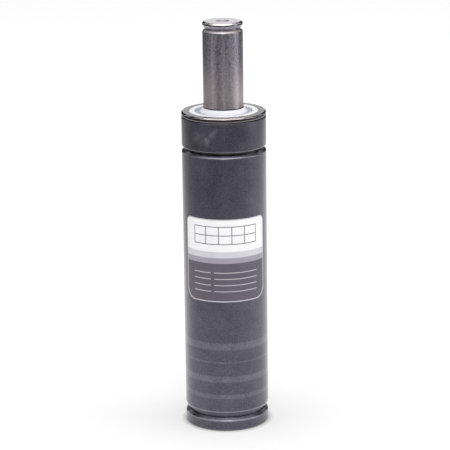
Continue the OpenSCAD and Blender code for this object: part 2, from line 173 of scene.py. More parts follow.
def collar_scuffs(tree, mm, angle, height, colour):
    """Draws the scuffs on the collar, left of the front; returns the new colour."""
    smear_size = 2.2
    smear = add(tree, "ShaderNodeTexNoise", {
        "Vector": mm, "Scale": 1 / smear_size, "Detail": 4.0, "Roughness": 0.7})
    smear = add(tree, "ShaderNodeMapRange", {"Value": smear, "From Min": 0.33, "From Max": 0.62})
    for left, middle, lean, half_wide, half_high, strength in SCUFFS:
        across = add(tree, "ShaderNodeMath", {0: angle, 1: BODY_R, 2: left}, operation="MULTIPLY_ADD")
        rise = add(tree, "ShaderNodeMath", {0: height, 1: middle}, operation="SUBTRACT")
        slant = add(tree, "ShaderNodeMath", {0: rise, 1: -lean, 2: across}, operation="MULTIPLY_ADD")
        slant = add(tree, "ShaderNodeMath", {0: slant}, operation="ABSOLUTE")
        slant = add(tree, "ShaderNodeMapRange", {
            "Value": slant, "From Min": 0.09 * half_wide, "From Max": half_wide,
            "To Min": 1.0, "To Max": 0.0})
        rise = add(tree, "ShaderNodeMath", {0: rise}, operation="ABSOLUTE")
        rise = add(tree, "ShaderNodeMapRange", {
            "Value": rise, "From Min": 0.45 * half_high, "From Max": half_high,
            "To Min": strength, "To Max": 0.0})
        scuff = add(tree, "ShaderNodeMath", {0: slant, 1: rise}, operation="MULTIPLY")
        scuff = add(tree, "ShaderNodeMath", {0: scuff, 1: smear}, operation="MULTIPLY")
        colour = add(tree, "ShaderNodeMix", {"Factor": scuff, 6: colour, 7: linear("#8f8d98")},
                     data_type="RGBA").outputs[2]
    return colour


def axis_distance(tree, mm):
    """A socket for the distance from the axis in millimetres."""
    flat = add(tree, "ShaderNodeVectorMath", {0: mm, 1: (1.0, 1.0, 0.0)}, operation="MULTIPLY")
    return add(tree, "ShaderNodeVectorMath", {0: flat}, operation="LENGTH").outputs["Value"]


def groove_shade(tree, mm, height, colour):
    """Darkens the upper groove towards near black, a painted shade for the groove's floor; returns the new
    colour.
    """
    deep = add(tree, "ShaderNodeMapRange", {
        "Value": axis_distance(tree, mm), "From Min": 18.2, "From Max": 17.3})
    groove = add(tree, "ShaderNodeMath", {0: height, 1: GROOVE_MIDDLE, 2: 1.0}, operation="COMPARE")
    groove_shade_weight = add(tree, "ShaderNodeMath", {0: deep, 1: groove}, operation="MULTIPLY")
    # Painted shade: the groove's floor turns near black
    return add(tree, "ShaderNodeMix", {"Factor": groove_shade_weight, 6: colour, 7: linear("#121115")},
               data_type="RGBA").outputs[2]


def black_oxide(name, dark, light, bare, smooth, dull, coat, bands):
    """Turned steel with a satin black oxide: cloudy dark grey, fine turning lines, edges rubbed bare."""
    cloud_size = 9.0
    speck_size = 0.6
    # The turning lines are drawn coarser than the real feed, so that they show
    line_step = 0.35
    material, tree, shader, mm = new_material(name)
    angle, height = round_place(tree, mm)
    clouds = add(tree, "ShaderNodeTexNoise", {
        "Vector": mm, "Scale": 1 / cloud_size, "Detail": 4.0, "Roughness": 0.6})
    specks = add(tree, "ShaderNodeTexNoise", {"Vector": mm, "Scale": 1 / speck_size, "Detail": 2.0})
    tone = add(tree, "ShaderNodeMath", {0: specks, 1: 1.4, 2: clouds}, operation="MULTIPLY_ADD")
    tone = add(tree, "ShaderNodeMapRange", {"Value": tone, "From Min": 0.9, "From Max": 1.5})
    colour = add(tree, "ShaderNodeMix", {"Factor": tone, 6: linear(dark), 7: linear(light)},
                 data_type="RGBA").outputs[2]
    # Only the cylinder has bands, and with them scuffs and a painted shade in the upper groove
    if bands:
        colour = rubbed_bands(tree, height, tone, colour, bands)
        colour = collar_scuffs(tree, mm, angle, height, colour)
        colour = groove_shade(tree, mm, height, colour)
    wear_and_shade_weight = add(tree, "ShaderNodeAttribute", attribute_name="wear").outputs["Fac"]
    rub = add(tree, "ShaderNodeMath", {0: clouds, 1: 0.3, 2: 0.7}, operation="MULTIPLY_ADD")
    rub = add(tree, "ShaderNodeMath", {0: wear_and_shade_weight, 1: rub}, operation="MULTIPLY")
    edge = add(tree, "ShaderNodeMix", {"Factor": rub, 6: colour, 7: linear(bare)}, data_type="RGBA")
    tree.links.new(edge.outputs[2], shader.inputs["Base Color"])
    rough = add(tree, "ShaderNodeMapRange", {"Value": clouds, "To Min": smooth, "To Max": dull})
    eased = add(tree, "ShaderNodeMapRange", {"Value": wear_and_shade_weight, "To Min": 1.0, "To Max": 0.5})
    eased = add(tree, "ShaderNodeMath", {0: rough, 1: eased}, operation="MULTIPLY")
    tree.links.new(eased.outputs[0], shader.inputs["Roughness"])
    shader.inputs["Metallic"].default_value = 1.0
    shader.inputs["Anisotropic"].default_value = 0.4
    shader.inputs["Anisotropic Rotation"].default_value = 0.25
    shader.inputs["Coat Weight"].default_value = coat
    shader.inputs["Coat Roughness"].default_value = 0.25
    around = add(tree, "ShaderNodeTangent", direction_type="RADIAL", axis="Z")
    tree.links.new(around.outputs[0], shader.inputs["Tangent"])
    lines = add(tree, "ShaderNodeTexNoise", {"W": height, "Scale": 1 / line_step, "Detail": 1.0},
                noise_dimensions="1D")
    bump = add(tree, "ShaderNodeBump", {"Strength": 0.12, "Distance": 0.00004, "Height": lines})
    tree.links.new(bump.outputs[0], shader.inputs["Normal"])
    return material


def nitrided_rod():
    """Ground and nitrided steel: silky grey, stained along its length, lighter and warmer low down, with a
    painted sheen on its two sides and a painted shadow line at the wiper.
    """
    streak_wide = 5.0
    streak_long = 50.0
    streak_start = 5.2
    speck_size = 0.9
    material, tree, shader, mm = new_material("ground_nitrided_steel")
    angle, height = round_place(tree, mm)
    along = add(tree, "ShaderNodeMath", {0: height, 1: 1 / streak_long}, operation="MULTIPLY")
    turn = add(tree, "ShaderNodeMath", {0: angle, 1: ROD_R / streak_wide}, operation="MULTIPLY")
    streak_place = add(tree, "ShaderNodeCombineXYZ", {0: turn, 1: along, 2: streak_start})
    streaks = add(tree, "ShaderNodeTexNoise", {"Vector": streak_place, "Scale": 1.0, "Detail": 3.0})
    specks = add(tree, "ShaderNodeTexNoise", {
        "Vector": mm, "Scale": 1 / speck_size, "Detail": 3.0, "Roughness": 0.7})
    tone = add(tree, "ShaderNodeMath", {0: specks, 1: 3.0, 2: streaks}, operation="MULTIPLY_ADD")
    tone = add(tree, "ShaderNodeMapRange", {"Value": tone, "From Min": 1.45, "From Max": 2.55})
    colour = add(tree, "ShaderNodeMix", {"Factor": tone, 6: linear("#6a6472"), 7: linear("#b6afba")},
                 data_type="RGBA").outputs[2]
    # A lighter, warmer tint, stronger towards the wiper and stronger again on the two sides seen from the
    # front, where it is a painted sheen
    low_down = add(tree, "ShaderNodeMapRange", {"Value": height, "From Min": 176.0, "From Max": 149.0},
              interpolation_type="SMOOTHSTEP")
    side = add(tree, "ShaderNodeMath", {0: angle}, operation="SINE")
    side = add(tree, "ShaderNodeMath", {0: side, 1: side}, operation="MULTIPLY")
    side = add(tree, "ShaderNodeMapRange", {"Value": side, "To Min": 0.35, "To Max": 1.0})
    low_tint_and_side_sheen = add(tree, "ShaderNodeMath", {0: low_down, 1: side}, operation="MULTIPLY")
    # The head above the puller groove is left as turned, bare and bright
    head = add(tree, "ShaderNodeMapRange", {"Value": height, "From Min": 184.9, "From Max": 185.1})
    # Painted shadow: a dark line round the rod at the wiper's lip, standing for the shade in the gap between
    # them
    lip_gap_shadow = add(tree, "ShaderNodeMath", {0: height, 1: WIPER_LIP, 2: 0.45}, operation="COMPARE")
    # The flank under the puller groove is turned after nitriding, so it is bare and satin
    flank = add(tree, "ShaderNodeMath", {0: height, 1: 182.65, 2: 0.5}, operation="COMPARE")
    # The centre hole is drilled, pale and dull
    hole = add(tree, "ShaderNodeMapRange", {
        "Value": axis_distance(tree, mm), "From Min": 3.2, "From Max": 2.9})
    rough = add(tree, "ShaderNodeMapRange", {"Value": streaks, "To Min": 0.3, "To Max": 0.42})
    for mask, tint in ((low_tint_and_side_sheen, "#dfd3d3"), (head, "#b9b3b8"), (lip_gap_shadow, "#3c353b"), (flank, "#c9c2c6"),
                       (hole, "#bfb9bd")):
        colour = add(tree, "ShaderNodeMix", {"Factor": mask, 6: colour, 7: linear(tint)},
                     data_type="RGBA").outputs[2]
    for mask, level in ((head, 0.16), (flank, 0.42), (hole, 0.75)):
        rough = add(tree, "ShaderNodeMix", {"Factor": mask, 2: rough, 3: level})
    tree.links.new(colour, shader.inputs["Base Color"])
    tree.links.new(rough.outputs[0], shader.inputs["Roughness"])
    shader.inputs["Metallic"].default_value = 1.0
    shader.inputs["Anisotropic"].default_value = 0.45
    shader.inputs["Anisotropic Rotation"].default_value = 0.25
    around = add(tree, "ShaderNodeTangent", direction_type="RADIAL", axis="Z")
    tree.links.new(around.outputs[0], shader.inputs["Tangent"])
    bump = add(tree, "ShaderNodeBump", {"Strength": 0.06, "Distance": 0.00003, "Height": specks})
    tree.links.new(bump.outputs[0], shader.inputs["Normal"])
    return material


def moulded(name, dark, light, rough, grain, soil_and_shade=None):
    """Moulded plastic or rubber: one colour that drifts slightly, a fine grain, and, if a shade colour is
    given, a painted shade in its hollows.
    """
    drift_size = 6.0
    material, tree, shader, mm = new_material(name)
    drift = add(tree, "ShaderNodeTexNoise", {"Vector": mm, "Scale": 1 / drift_size, "Detail": 3.0})
    fine = add(tree, "ShaderNodeTexNoise", {"Vector": mm, "Scale": 1 / grain, "Detail": 2.0})
    colour = add(tree, "ShaderNodeMix", {"Factor": drift, 6: linear(dark), 7: linear(light)},
                 data_type="RGBA").outputs[2]
    # Painted shade: the hollows, weighted by the per-point attribute, take a darker bluish colour
    if soil_and_shade:
        wear_and_shade_weight = add(tree, "ShaderNodeAttribute", attribute_name="wear").outputs["Fac"]
        colour = add(tree, "ShaderNodeMix", {"Factor": wear_and_shade_weight, 6: colour, 7: linear(soil_and_shade)},
                     data_type="RGBA").outputs[2]
    tree.links.new(colour, shader.inputs["Base Color"])
    spread = add(tree, "ShaderNodeMapRange", {
        "Value": drift, "To Min": rough - 0.05, "To Max": rough + 0.05})
    tree.links.new(spread.outputs[0], shader.inputs["Roughness"])
    bump = add(tree, "ShaderNodeBump", {"Strength": 0.08, "Distance": 0.00003, "Height": fine})
    tree.links.new(bump.outputs[0], shader.inputs["Normal"])
    return material


def turned_metal(name, dark, light, rough):
    """Bare turned metal: its own colour, with tool lines that run round the axis."""
    # The lines are drawn coarser than the real feed, so that they show
    line_step = 0.4
    line_long = 20.0
    scale = (1 / line_long, 1 / line_long, 1 / line_step)
    material, tree, shader, mm = new_material(name)
    squeeze = add(tree, "ShaderNodeVectorMath", {0: mm, 1: scale}, operation="MULTIPLY")
    lines = add(tree, "ShaderNodeTexNoise", {"Vector": squeeze, "Scale": 1.0, "Detail": 2.0})
    colour = add(tree, "ShaderNodeMix", {"Factor": lines, 6: linear(dark), 7: linear(light)},
                 data_type="RGBA")
    tree.links.new(colour.outputs[2], shader.inputs["Base Color"])
    spread = add(tree, "ShaderNodeMapRange", {
        "Value": lines, "To Min": rough - 0.06, "To Max": rough + 0.06})
    tree.links.new(spread.outputs[0], shader.inputs["Roughness"])
    shader.inputs["Metallic"].default_value = 1.0
    bump = add(tree, "ShaderNodeBump", {"Strength": 0.1, "Distance": 0.00003, "Height": lines})
    tree.links.new(bump.outputs[0], shader.inputs["Normal"])
    return material


def printed_film():
    """Printed polyester film: blank boxes on a white field, two grey stripes, blank rules on a dark field."""
    soil_size = 7.0
    material, tree, shader, mm = new_material("printed_polyester_film")
    angle, height = round_place(tree, mm)
    across = add(tree, "ShaderNodeMath", {0: angle, 1: BODY_R}, operation="MULTIPLY")
    up = add(tree, "ShaderNodeMath", {0: height, 1: LABEL_FOOT}, operation="SUBTRACT")
    spot = add(tree, "ShaderNodeCombineXYZ", {0: across, 1: up})
    share = add(tree, "ShaderNodeMath", {0: up, 1: LABEL_HIGH}, operation="DIVIDE")
    stripes = add(tree, "ShaderNodeValToRGB", {0: share})
    stripes.color_ramp.interpolation = "CONSTANT"
    stops = stripes.color_ramp.elements
    stops[0].position = 0.0
    stops[0].color = linear("#5c5661")
    stops[1].position = 18.0 / LABEL_HIGH
    stops[1].color = linear("#a19ca6")
    for low, tint in ((20.6, "#d3d1d8"), (23.4, "#f7f6f8")):
        stops.new(low / LABEL_HIGH).color = linear(tint)
    # Blank rules in the dark field, in a short and a long column
    rule_step = 2.9
    rule_thick = 0.34
    rule_start = 1.9
    rule = add(tree, "ShaderNodeMath", {0: up, 1: 1 / rule_step, 2: -rule_start / rule_step},
               operation="MULTIPLY_ADD")
    rule = add(tree, "ShaderNodeMath", {0: rule}, operation="FRACT")
    rule = add(tree, "ShaderNodeMath", {0: rule, 1: rule_thick / rule_step}, operation="LESS_THAN")
    field = add(tree, "ShaderNodeMath", {0: up, 1: 9.2, 2: 6.6}, operation="COMPARE")
    columns = add(tree, "ShaderNodeMath", {0: across, 1: 0.0, 2: 15.5}, operation="COMPARE")
    gap = add(tree, "ShaderNodeMath", {0: across, 1: -6.0, 2: 0.8}, operation="COMPARE")
    columns = add(tree, "ShaderNodeMath", {0: columns, 1: gap}, operation="SUBTRACT")
    field = add(tree, "ShaderNodeMath", {0: field, 1: columns}, operation="MULTIPLY")
    rule = add(tree, "ShaderNodeMath", {0: rule, 1: field}, operation="MULTIPLY")
    # Blank boxes in the white field, two rows of five
    line = 0.18
    box_wide = 6.0
    box_high = 4.0
    grid_half = 2.5 * box_wide
    grid_middle = 31.0
    grid_start = (grid_half, box_high - grid_middle, 0.0)
    grid_place = add(tree, "ShaderNodeVectorMath", {0: spot, 1: grid_start}, operation="ADD")
    boxes = add(tree, "ShaderNodeTexBrick", {
        "Vector": grid_place, "Scale": 1.0, "Mortar Size": line, "Mortar Smooth": 0.0,
        "Brick Width": box_wide, "Row Height": box_high}, offset=0.0)
    box_field = add(tree, "ShaderNodeMath", {0: across, 1: 0.0, 2: grid_half + line}, operation="COMPARE")
    box_rows = add(tree, "ShaderNodeMath", {0: up, 1: grid_middle, 2: box_high + line}, operation="COMPARE")
    box_field = add(tree, "ShaderNodeMath", {0: box_field, 1: box_rows}, operation="MULTIPLY")
    box = add(tree, "ShaderNodeMath", {0: boxes.outputs["Fac"], 1: box_field}, operation="MULTIPLY")
    # Pale line along the cut edge, which follows the corners' own radii
    edge_line = 0.5
    half = (LABEL_WIDE / 2, LABEL_HIGH / 2, 100.0)
    lower = add(tree, "ShaderNodeMath", {0: up, 1: LABEL_HIGH / 2}, operation="LESS_THAN")
    corner = add(tree, "ShaderNodeMath", {
        0: lower, 1: LABEL_LOWER_CORNER - LABEL_UPPER_CORNER, 2: LABEL_UPPER_CORNER},
        operation="MULTIPLY_ADD")
    out = add(tree, "ShaderNodeVectorMath", {0: spot, 1: (0.0, LABEL_HIGH / 2, 0.0)}, operation="SUBTRACT")
    out = add(tree, "ShaderNodeVectorMath", {0: out}, operation="ABSOLUTE")
    out = add(tree, "ShaderNodeVectorMath", {0: out, 1: half}, operation="SUBTRACT")
    out = add(tree, "ShaderNodeVectorMath", {0: out, 1: corner}, operation="ADD")
    out = add(tree, "ShaderNodeVectorMath", {0: out, 1: (0.0, 0.0, 0.0)}, operation="MAXIMUM")
    away = add(tree, "ShaderNodeVectorMath", {0: out}, operation="LENGTH").outputs["Value"]
    inset = add(tree, "ShaderNodeMath", {0: corner, 1: edge_line}, operation="SUBTRACT")
    border = add(tree, "ShaderNodeMath", {0: away, 1: inset}, operation="GREATER_THAN")
    soil_and_shade = add(tree, "ShaderNodeTexNoise", {"Vector": mm, "Scale": 1 / soil_size, "Detail": 5.0})
    soiled = add(tree, "ShaderNodeMapRange", {
        "Value": soil_and_shade, "From Min": 0.45, "From Max": 0.8, "To Max": 0.1})
    colour = stripes.outputs[0]
    for mask, tint in ((rule, "#c9c5cc"), (box, "#55525a"), (border, "#c3c0c9"), (soiled, "#8d8890")):
        colour = add(tree, "ShaderNodeMix", {"Factor": mask, 6: colour, 7: linear(tint)},
                     data_type="RGBA").outputs[2]
    tree.links.new(colour, shader.inputs["Base Color"])
    rough = add(tree, "ShaderNodeMapRange", {"Value": soil_and_shade, "To Min": 0.35, "To Max": 0.5})
    tree.links.new(rough.outputs[0], shader.inputs["Roughness"])
    bump = add(tree, "ShaderNodeBump", {"Strength": 0.1, "Distance": 0.00004, "Height": soil_and_shade})
    tree.links.new(bump.outputs[0], shader.inputs["Normal"])
    return material


# Scuffs on the collar: distance left of the front, height, lean, half width, half height and strength
SCUFFS = (
    (6.1, 137.5, 0.7, 2.2, 4.5, 0.8), (12.3, 136.8, 0.0, 4.5, 3.4, 0.5), (8.0, 135.3, -0.3, 0.8, 2.4, 1.0))
# Rubbed bands on the barrel: lower edge, upper edge and strength
RUBBED_BANDS = ((15.4, 17.4, 0.36), (23.3, 26.1, 0.42), (32.6, 33.1, 0.5), (38.7, 42.0, 0.42))
cylinder_finish = black_oxide(
    "black_oxide_steel", "#43414e", "#5e5b6a", "#b3b0ba", 0.34, 0.46, 0.9, RUBBED_BANDS)
cover_finish = black_oxide(
    "polished_black_oxide_steel", "#4a4850", "#54525b", "#bfb9b7", 0.18, 0.23, 0.0, ())
rod_finish = nitrided_rod()
# The wiper's last colour is a painted shade, laid into its trough
wiper_finish = moulded("white_polyurethane", "#f0f0f4", "#f6f7f9", 0.42, 0.5, "#aeb1c0")
inner_finish = {
    "spring_steel": turned_metal("drawn_spring_steel", "#9c9ca2", "#b5b5ba", 0.3),
    "gland_steel": turned_metal("turned_steel", "#8f8f95", "#a8a8ad", 0.32),
    "bronze": turned_metal("turned_bronze", "#a87a45", "#c0935c", 0.34),
    "polyurethane": moulded("blue_polyurethane", "#2f4e9b", "#3b5cab", 0.45, 0.4),
    "ptfe": moulded("turned_ptfe", "#e4e1d6", "#eeece4", 0.5, 0.4),
    "nitrile": moulded("nitrile_rubber", "#1c1c1d", "#262627", 0.6, 0.3),
    "wear_plastic": moulded("filled_wear_plastic", "#6e4a31", "#80583d", 0.5, 0.3),
    "valve_brass": turned_metal("turned_brass", "#b08d4a", "#c8a661", 0.28),
    "plug_steel": turned_metal("blackened_screw_steel", "#55555a", "#66666b", 0.38),
    "label_film": printed_film(),
}


def make_tree(name, sockets):
    """A geometry tree with its named inputs; returns the tree and the sockets that give those inputs."""
    tree = bpy.data.node_groups.new(name, "GeometryNodeTree")
    tree.interface.new_socket(name="Geometry", in_out="INPUT", socket_type="NodeSocketGeometry")
    for label, kind in sockets:
        tree.interface.new_socket(name=label, in_out="INPUT", socket_type=kind)
    tree.interface.new_socket(name="Geometry", in_out="OUTPUT", socket_type="NodeSocketGeometry")
    return tree, add(tree, "NodeGroupInput").outputs


def finish_tree(tree, shape, finish):
    """Ends a tree: makes instances real, sets the material and puts the shape out."""
    real = add(tree, "GeometryNodeRealizeInstances", {"Geometry": shape})
    painted = add(tree, "GeometryNodeSetMaterial", {"Geometry": real, "Material": finish})
    add(tree, "NodeGroupOutput", {"Geometry": painted})


def turned_tree():
    """Sweeps a profile round the axis and rounds each corner by its own radius."""
    tree, given = make_tree("turned_piece", (
        ("Sides", "NodeSocketInt"), ("Round steps", "NodeSocketInt"),
        ("Path radius", "NodeSocketFloat"), ("Finish", "NodeSocketMaterial")))
    line = add(tree, "GeometryNodeMeshToCurve", {"Mesh": given["Geometry"]})
    radius = add(tree, "GeometryNodeInputNamedAttribute", {"Name": "round"}, data_type="FLOAT")
    eased = add(tree, "GeometryNodeFilletCurve", {
        "Curve": line, "Count": given["Round steps"], "Radius": radius, "Limit Radius": True}, mode="POLY")
    inward = add(tree, "ShaderNodeMath", {0: given["Path radius"], 1: -1.0}, operation="MULTIPLY")
    step = add(tree, "ShaderNodeCombineXYZ", {0: inward})
    # The sweep turns a profile's Y axis downwards, so the profile is turned over first
    placed = add(tree, "GeometryNodeTransform", {
        "Geometry": eased, "Translation": step, "Scale": (1.0, -1.0, 1.0)})
    path = add(tree, "GeometryNodeCurvePrimitiveCircle", {
        "Resolution": given["Sides"], "Radius": given["Path radius"]}, mode="RADIUS")
    swept = add(tree, "GeometryNodeCurveToMesh", {"Curve": path, "Profile Curve": placed})
    joined = add(tree, "GeometryNodeMergeByDistance", {"Geometry": swept, "Distance": 1e-7})
    finish_tree(tree, joined, given["Finish"])
    return tree


def pair_tree():
    """Sets one hole's wall at both ends of a line."""
    tree, given = make_tree("pair_of_holes", (
        ("Spacing", "NodeSocketFloat"), ("Finish", "NodeSocketMaterial")))
    half = add(tree, "ShaderNodeMath", {0: given["Spacing"], 1: -0.5}, operation="MULTIPLY")
    start = add(tree, "ShaderNodeCombineXYZ", {0: half})
    offset = add(tree, "ShaderNodeCombineXYZ", {0: given["Spacing"]})
    row = add(tree, "GeometryNodeMeshLine", {"Count": 2, "Start Location": start, "Offset": offset},
              mode="OFFSET")
    holes = add(tree, "GeometryNodeInstanceOnPoints", {"Points": row, "Instance": given["Geometry"]})
    finish_tree(tree, holes, given["Finish"])
    return tree


def coil_tree():
    """Winds round wire into a coil of even pitch that starts at a given height on the axis."""
    tree, given = make_tree("wire_coil", (
        ("Turns", "NodeSocketFloat"), ("Coil radius", "NodeSocketFloat"), ("Rise", "NodeSocketFloat"),
        ("Start height", "NodeSocketFloat"), ("Wire radius", "NodeSocketFloat"),
        ("Finish", "NodeSocketMaterial")))
    helix = add(tree, "GeometryNodeCurveSpiral", {
        "Resolution": 32, "Rotations": given["Turns"], "Start Radius": given["Coil radius"],
        "End Radius": given["Coil radius"], "Height": given["Rise"], "Reverse": True})
    wire = add(tree, "GeometryNodeCurvePrimitiveCircle", {
        "Resolution": 16, "Radius": given["Wire radius"]}, mode="RADIUS")
    swept = add(tree, "GeometryNodeCurveToMesh", {
        "Curve": helix, "Profile Curve": wire, "Fill Caps": True})
    start = add(tree, "ShaderNodeCombineXYZ", {2: given["Start height"]})
    placed = add(tree, "GeometryNodeTransform", {"Geometry": swept, "Translation": start})
    finish_tree(tree, placed, given["Finish"])
    return tree


def bake_tree(name, mesh, tree, values):
    """Runs a tree on a mesh and returns an object with the plain result."""
    piece = bpy.data.objects.new(name, mesh)
    scene.collection.objects.link(piece)
    modifier = piece.modifiers.new("form", "NODES")
    modifier.node_group = tree
    for item in tree.interface.items_tree:
        if item.in_out == "INPUT" and item.name in values:
            modifier[item.identifier] = values[item.name]
    graph = bpy.context.evaluated_depsgraph_get()
    made = piece.evaluated_get(graph)
    result = bpy.data.meshes.new_from_object(made, preserve_all_data_layers=True, depsgraph=graph)
    piece.modifiers.clear()
    piece.data = result
    result.name = name
    return piece


def profile_mesh(name, corners, closed):
    """Edges through (radius, height, rounding, weight) corners, where the weight marks rubbed edges and, in
    the wiper's trough, a painted shade, plus plain points beside them if they fit.
    """
    clear = 2.2
    gap = 0.05
    points = []
    count = len(corners)
    for i, (r, z, ease, wear) in enumerate(corners):
        points.append((r, z, ease, wear))
        if i + 1 == count and not closed:
            break
        r2, z2, ease2, _ = corners[(i + 1) % count]
        length = math.hypot(r2 - r, z2 - z)
        first = clear * ease + gap
        second = clear * ease2 + gap
        if length > first + second + gap:
            for way in (first / length, 1 - second / length):
                points.append((r + (r2 - r) * way, z + (z2 - z) * way, 0.0, 0.0))
    mesh = bpy.data.meshes.new(name)
    edges = [(i, i + 1) for i in range(len(points) - 1)]
    if closed:
        edges.append((len(points) - 1, 0))
    mesh.from_pydata([(p[0] * MM, p[1] * MM, 0.0) for p in points], edges, [])
    for label, slot, unit in (("round", 2, MM), ("wear", 3, 1.0)):
        values = mesh.attributes.new(label, "FLOAT", "POINT")
        values.data.foreach_set("value", [p[slot] * unit for p in points])
    return mesh


TURNED = turned_tree()
# Radius, in metres, of the circle that carries a profile round the axis
SWEEP_R = 0.05


def turned(name, corners, closed, finish, sides=224):
    """A turned piece from its profile."""
    values = {"Sides": sides, "Round steps": 4, "Path radius": SWEEP_R, "Finish": finish}
    return bake_tree(name, profile_mesh(name + "_profile", corners, closed), TURNED, values)


# Profiles: radius, height, rounding and edge-rub weight of each corner; in the wiper's trough that weight
# carries a painted shade
EDGE = 0.15
FOOT_WEAR = 0.15
RING_MIDDLE_R = 14.35
RING_MIDDLE_Z = 138.6
RING_GROOVE_R = 1.55
RING_GROOVE_HALF_ARC = 84.4
RING_GROOVE_STEPS = 8
ring_groove = []
for step in range(RING_GROOVE_STEPS + 1):
    turn = math.radians(RING_GROOVE_HALF_ARC - 2 * RING_GROOVE_HALF_ARC * step / RING_GROOVE_STEPS)
    ring_groove.append((RING_MIDDLE_R + RING_GROOVE_R * math.cos(turn),
                        RING_MIDDLE_Z + RING_GROOVE_R * math.sin(turn), 0.0, 0.0))
cylinder_corners = [
    (18.55, 0.0, 0.0, FOOT_WEAR), (BODY_R, 0.5, 0.15, 0.4), (BODY_R, 4.8, 0.25, 0.6),
    (17.65, 6.2, 0.1, 0.0), (17.05, 6.2, 0.0, 0.0), (17.05, 7.6, 0.0, 0.0), (18.3, 7.6, 0.2, 1.0),
    (BODY_R, 9.0, 0.15, 0.7), (BODY_R, 127.8, 0.25, 0.5), (17.95, 128.9, 0.15, 0.4),
    (17.05, 128.9, 0.0, 0.0), (17.05, 129.9, 0.0, 0.0), (18.35, 129.9, 0.15, 1.0),
    (BODY_R, 130.6, 0.12, 0.7), (BODY_R, 143.3, 0.1, 0.0), (18.85, 143.5, 0.1, 0.0),
    (14.5, 143.5, 0.1, 0.0), *ring_groove, (14.5, 20.0, 0.0, 0.0), (12.5, 18.0, 0.0, 0.0),
    (2.21, 18.0, 0.0, 0.0), (2.21, 15.15, 0.0, 0.0), (3.4, 15.15, 0.0, 0.0), (3.4, 0.5, 0.0, 0.0),
    (PORT_MOUTH_R, 0.0, 0.0, FOOT_WEAR)]
cover_corners = [
    (12.9, 140.3, 0.0, 0.0), (14.46, 140.3, 0.2, 0.0), (14.46, 143.5, 0.0, 0.0),
    (18.6, 143.5, 0.1, 0.2), (BODY_R, 144.3, EDGE, 0.5), (BODY_R, 145.5, EDGE, 1.0),
    (18.5, 146.0, 0.1, 0.9), (15.54, 146.0, 0.1, 0.4), (15.54, 144.6, 0.0, 0.0), (12.9, 144.6, 0.0, 0.0)]
# In the wiper, the two trough corners carry full weight for the painted shade in its trough
wiper_corners = [
    (9.35, 141.2, 0.0, 0.0), (12.86, 141.2, 0.0, 0.0), (12.86, 144.6, 0.0, 0.0), (15.5, 144.6, 0.0, 0.0),
    (15.5, WIPER_TOP, 0.25, 0.0), (13.2, WIPER_TOP, 0.25, 0.0), (12.75, 145.2, 0.4, 1.0),
    (11.1, 145.2, 0.4, 1.0), (9.49, WIPER_LIP, 0.12, 0.0), (9.265, WIPER_LIP, 0.1, 0.0),
    (9.04, 147.15, 0.0, 0.0), (9.35, 145.2, 0.0, 0.0)]
rod_corners = [
    (0.0, 97.35, 0.0, 0.0), (6.9, 97.35, 0.1, 0.0), (7.5, 97.95, 0.1, 0.0), (7.5, 98.9, 0.0, 0.0),
    (6.5, 98.9, 0.0, 0.0), (6.5, 100.4, 0.0, 0.0), (7.5, 100.4, 0.0, 0.0), (7.5, 109.9, 0.0, 0.0),
    (ROD_R, 109.9, 0.1, 0.0), (ROD_R, 182.1, 0.5, 0.0), (8.0, 183.1, 0.45, 0.0), (7.5, 183.1, 0.0, 0.0),
    (7.5, 183.8, 0.0, 0.0), (8.2, 183.8, 0.1, 0.0), (ROD_R, 185.1, 0.12, 0.0), (ROD_R, 185.8, 0.25, 0.0),
    (8.3, ROD_TOP, 0.9, 0.0), (3.0, ROD_TOP, 0.12, 0.0),
    (1.25, 183.469, 0.0, 0.0), (1.25, 181.0, 0.0, 0.0), (0.0, 180.249, 0.0, 0.0)]


def tapped_wall():
    """The wall of one tapped hole: a countersunk mouth, a helical thread and a drill point."""
    sides = 48
    rows = 116
    drill_half_angle = math.radians(59)
    sink = MOUNT_MOUTH_R - MOUNT_MINOR_R
    thread_end = 0.85 * MOUNT_DEPTH
    work = bmesh.new()
    tip = work.verts.new((0.0, 0.0, (MOUNT_DEPTH + MOUNT_MINOR_R / math.tan(drill_half_angle)) * MM))
    below = []
    for row in range(rows):
        height = MOUNT_DEPTH * row / (rows - 1)
        # The thread runs out over its last pitch, short of the bottom
        fade = min(max((thread_end - height) / MOUNT_PITCH, 0.0), 1.0)
        ring = []
        for side in range(sides):
            climb = (height / MOUNT_PITCH - side / sides) % 1.0
            flare = max(abs(2 * climb - 1) * fade * sink, sink - height) if row else sink
            radius = (MOUNT_MINOR_R + flare) * MM
            turn = TAU * side / sides
            ring.append(work.verts.new((radius * math.cos(turn), radius * math.sin(turn), height * MM)))
        for i in range(sides if below else 0):
            work.faces.new((below[i - 1], below[i], ring[i], ring[i - 1]))
        below = ring
    for i in range(sides):
        work.faces.new((below[i - 1], below[i], tip))
    mesh = bpy.data.meshes.new("tapped_wall")
    work.to_mesh(mesh)
    work.free()
    return mesh


def cylinder_body():
    """The cylinder's turned skin, with the two tapped holes let into its foot."""
    body = turned("cylinder_body", cylinder_corners, False, cylinder_finish, 256)
    holes = bake_tree("tapped_holes", tapped_wall(), pair_tree(),
                      {"Spacing": MOUNT_SPACING * MM, "Finish": cylinder_finish})
    work = bmesh.new()
    work.from_mesh(body.data)
    work.from_mesh(holes.data)
    bpy.data.objects.remove(holes)
    rims = [e for e in work.edges if e.is_boundary]
    # The same wear on every rim gives the flat foot an even look
    wear_and_shade_weight = work.verts.layers.float["wear"]
    for rim in rims:
        for corner in rim.verts:
            corner[wear_and_shade_weight] = FOOT_WEAR
    bmesh.ops.triangle_fill(work, use_beauty=True, use_dissolve=False, edges=rims, normal=(0, 0, -1))
    work.to_mesh(body.data)
    work.free()
    return body


